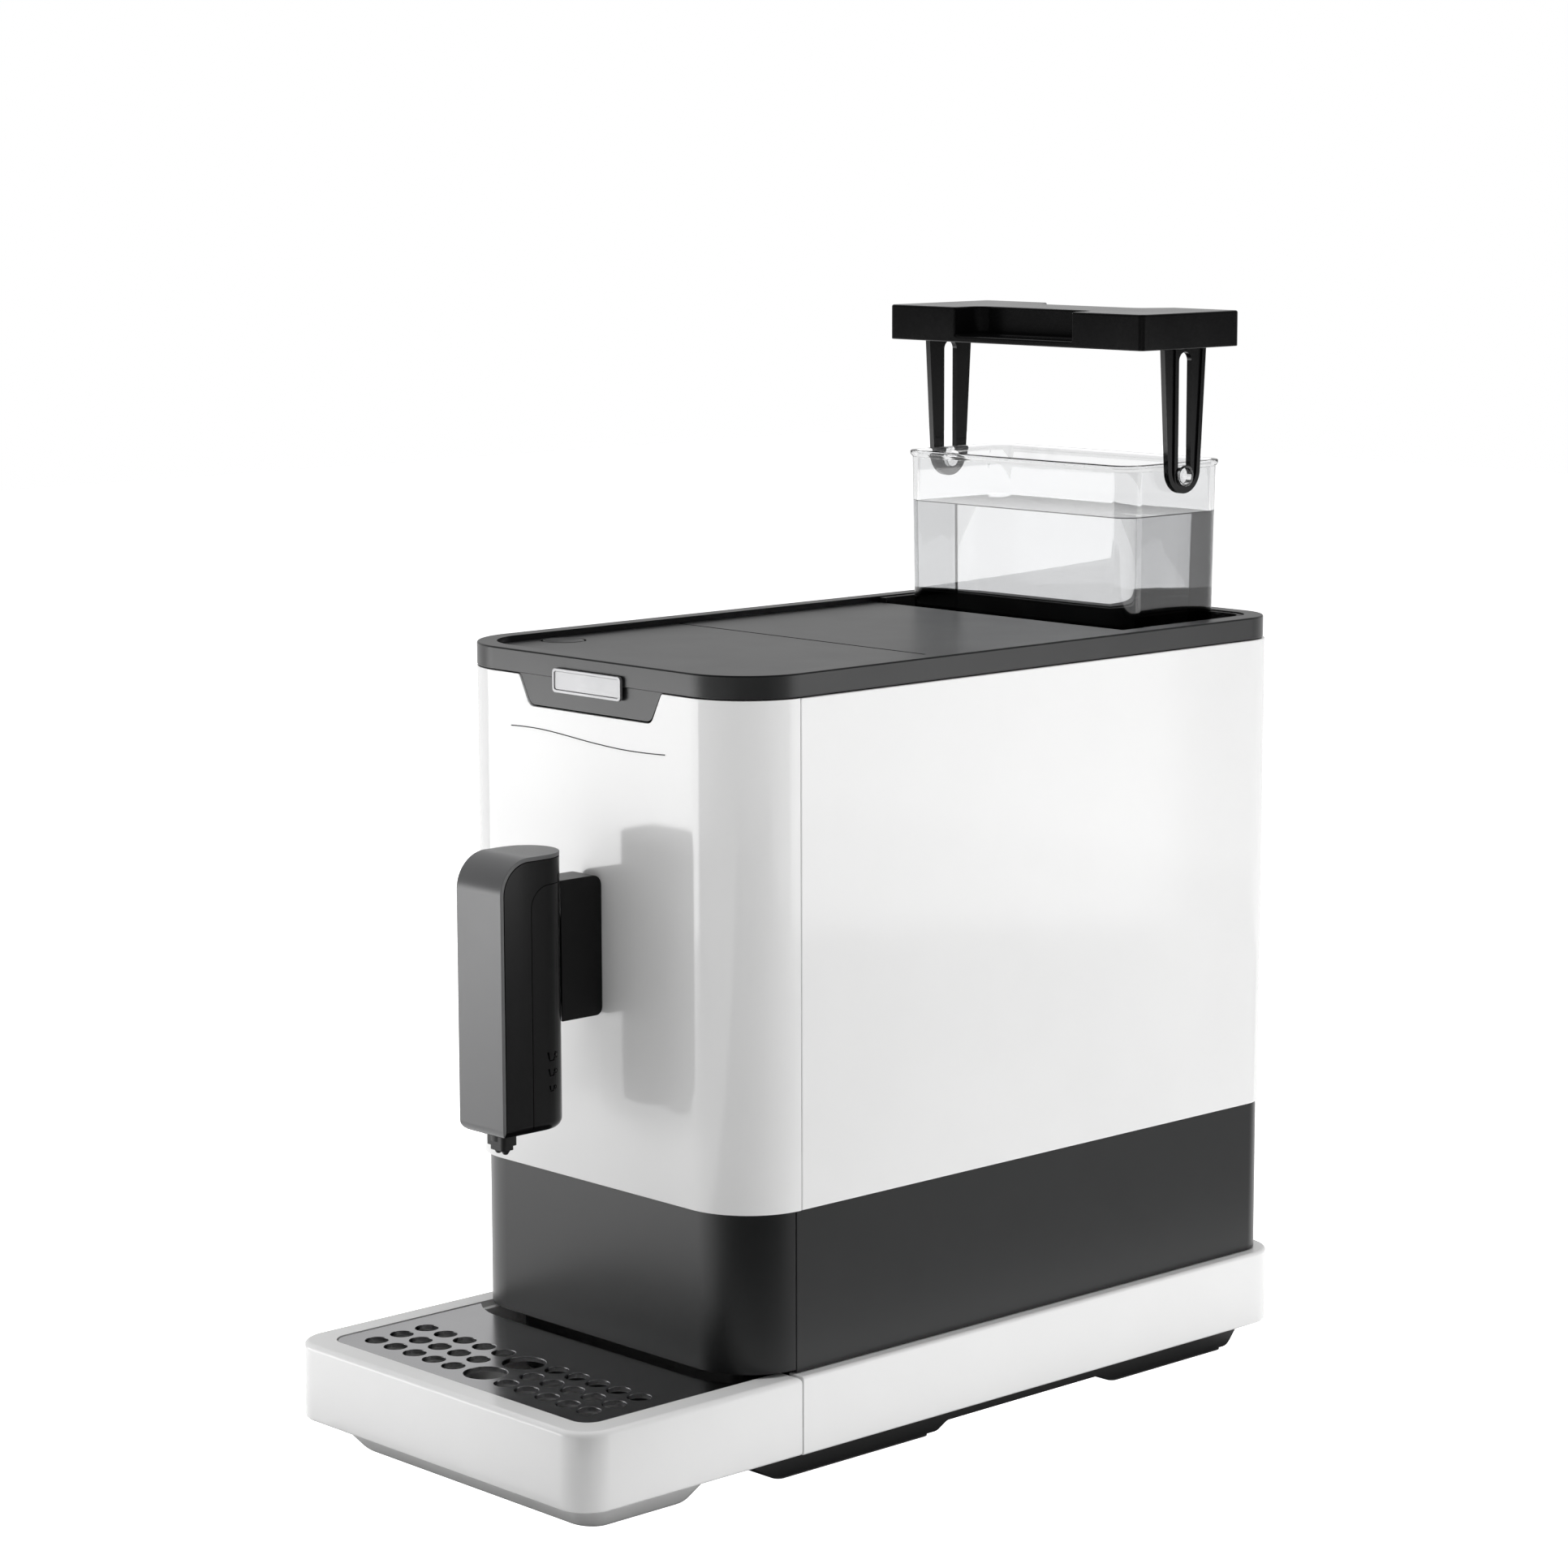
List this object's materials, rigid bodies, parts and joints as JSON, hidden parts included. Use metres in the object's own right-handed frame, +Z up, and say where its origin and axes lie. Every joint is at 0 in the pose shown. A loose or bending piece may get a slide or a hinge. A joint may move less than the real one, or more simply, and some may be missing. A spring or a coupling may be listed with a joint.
{
  "type": "bean-to-cup coffee machine",
  "caption": "Slim bean-to-cup coffee machine with a height-adjustable spout, pull-out drip tray and grounds bin, and a lift-out water tank whose lid is its handle.",
  "frame": {"origin": "centre of the bounding box in X and Y, at the height of the surface the machine stands on", "axes": "+Z up, +X across the machine to its right-hand side, -Y out of its front, where the spout and the drip tray are"},
  "size_m": [0.18, 0.395, 0.4463],
  "materials": {
    "white_gloss": "glossy white moulding",
    "charcoal": "satin charcoal moulding",
    "black_matte": "fine-grained black moulding",
    "black_gloss": "polished black",
    "spout_grey": "satin mid grey",
    "steel": "brushed, with fine scratches",
    "plate_metal": "satin plate with a raised rim",
    "clear_plastic": "clear, polished",
    "rubber": "matt",
    "silicone": "milky",
    "nylon": "natural",
    "brass": "machined",
    "aluminium": "cast, blasted",
    "board_green": "solder mask"
  },
  "bodies": {
    "machine": {"base_pan": "black_matte", "foot_front_left": "rubber", "foot_front_right": "rubber", "foot_rear_left": "rubber", "foot_rear_right": "rubber", "base_skirt": "white_gloss", "lower_housing": "charcoal", "front_cover": "white_gloss", "left_side_panel": "white_gloss", "right_side_panel": "white_gloss", "rear_panel": "charcoal", "rear_screw_1": "steel", "rear_screw_2": "steel", "rear_screw_3": "steel", "rear_screw_4": "steel", "cord_gland": "rubber", "top_frame": "charcoal", "name_plate": "plate_metal", "control_panel": "charcoal", "bean_hopper": "black_matte", "grinder_housing": "black_matte", "upper_burr": "steel", "grinder_motor": "steel", "grounds_chute": "black_matte", "chassis_floor": "aluminium", "brew_frame": "black_matte", "brew_chamber": "nylon", "brew_motor": "steel", "water_heater": "aluminium", "water_pump": "steel", "hose_tank_to_pump": "silicone", "hose_pump_to_heater": "silicone", "hose_heater_to_brew": "silicone", "hose_brew_to_spout": "silicone", "control_board": "board_green", "tank_well": "black_matte", "tank_socket": "rubber", "spout_bracket": "black_gloss"},
    "power_button": {"power_button": "charcoal"},
    "bean_lid": {"bean_lid": "charcoal"},
    "grind_knob": {"grind_knob": "black_matte"},
    "burr": {"lower_burr": "steel", "burr_gear": "nylon"},
    "pinion": {"motor_pinion": "brass"},
    "brew_piston": {"brew_piston": "nylon"},
    "brew_gear": {"brew_gear": "brass"},
    "water_tank": {"water_tank": "clear_plastic", "tank_valve": "rubber"},
    "tank_lid": {"tank_lid": "black_gloss", "lid_arm_left": "black_gloss", "lid_arm_right": "black_gloss"},
    "spout": {"spout_front_shell": "spout_grey", "spout_side_shell": "black_gloss", "spout_rear_shell": "black_gloss", "spout_nozzle": "black_matte"},
    "drip_tray": {"drip_tray": "white_gloss", "grounds_front": "charcoal", "grounds_container": "black_matte"},
    "drip_grate": {"drip_grate": "steel"}
  },
  "joints": [
    {"name": "button_press", "type": "slide", "parent": "machine", "child": "power_button", "axis": [0, 0, 1], "range_m": [-0.0015, 0], "stiffness_N_per_m": 300, "springref_m": 0.0004},
    {"name": "bean_lid_lift", "type": "slide", "parent": "machine", "child": "bean_lid", "axis": [0, 0, 1], "range_m": [0, 0.06]},
    {"name": "grind_knob_turn", "type": "hinge", "parent": "machine", "child": "grind_knob", "pos_m": [0.057, 0.062, 0.29], "axis": [0, 0, 1], "range_deg": [-150, 150]},
    {"name": "burr_spin", "type": "hinge", "parent": "machine", "child": "burr", "pos_m": [0, 0.062, 0.24], "axis": [0, 0, 1], "continuous": true},
    {"name": "pinion_spin", "type": "hinge", "parent": "machine", "child": "pinion", "pos_m": [-0.025, 0.062, 0.224], "axis": [0, 0, 1], "continuous": true},
    {"name": "brew_piston_slide", "type": "slide", "parent": "machine", "child": "brew_piston", "axis": [0, 0, 1], "range_m": [-0.04, 0]},
    {"name": "brew_gear_turn", "type": "hinge", "parent": "machine", "child": "brew_gear", "pos_m": [0, -0.02975, 0.226], "axis": [1, 0, 0], "range_deg": [-1, 231]},
    {"name": "tank_lift", "type": "slide", "parent": "machine", "child": "water_tank", "axis": [0, 0, 1], "range_m": [-0.082, 0.11]},
    {"name": "tank_lid_slide", "type": "slide", "parent": "water_tank", "child": "tank_lid", "axis": [0, 0, 1], "range_m": [-0.0471, 0]},
    {"name": "spout_slide", "type": "slide", "parent": "machine", "child": "spout", "axis": [0, 0, 1], "range_m": [-0.012, 0.03]},
    {"name": "tray_pull", "type": "slide", "parent": "machine", "child": "drip_tray", "axis": [0, -1, 0], "range_m": [0, 0.14]},
    {"name": "grate_lift", "type": "slide", "parent": "drip_tray", "child": "drip_grate", "axis": [0, 0, 1], "range_m": [0, 0.03]}
  ],
  "couplings": [
    {"joint": "pinion_spin", "follows": "burr_spin", "ratio": -3},
    {"joint": "brew_gear_turn", "follows": "brew_piston_slide", "rad_per_m": -100}
  ]
}
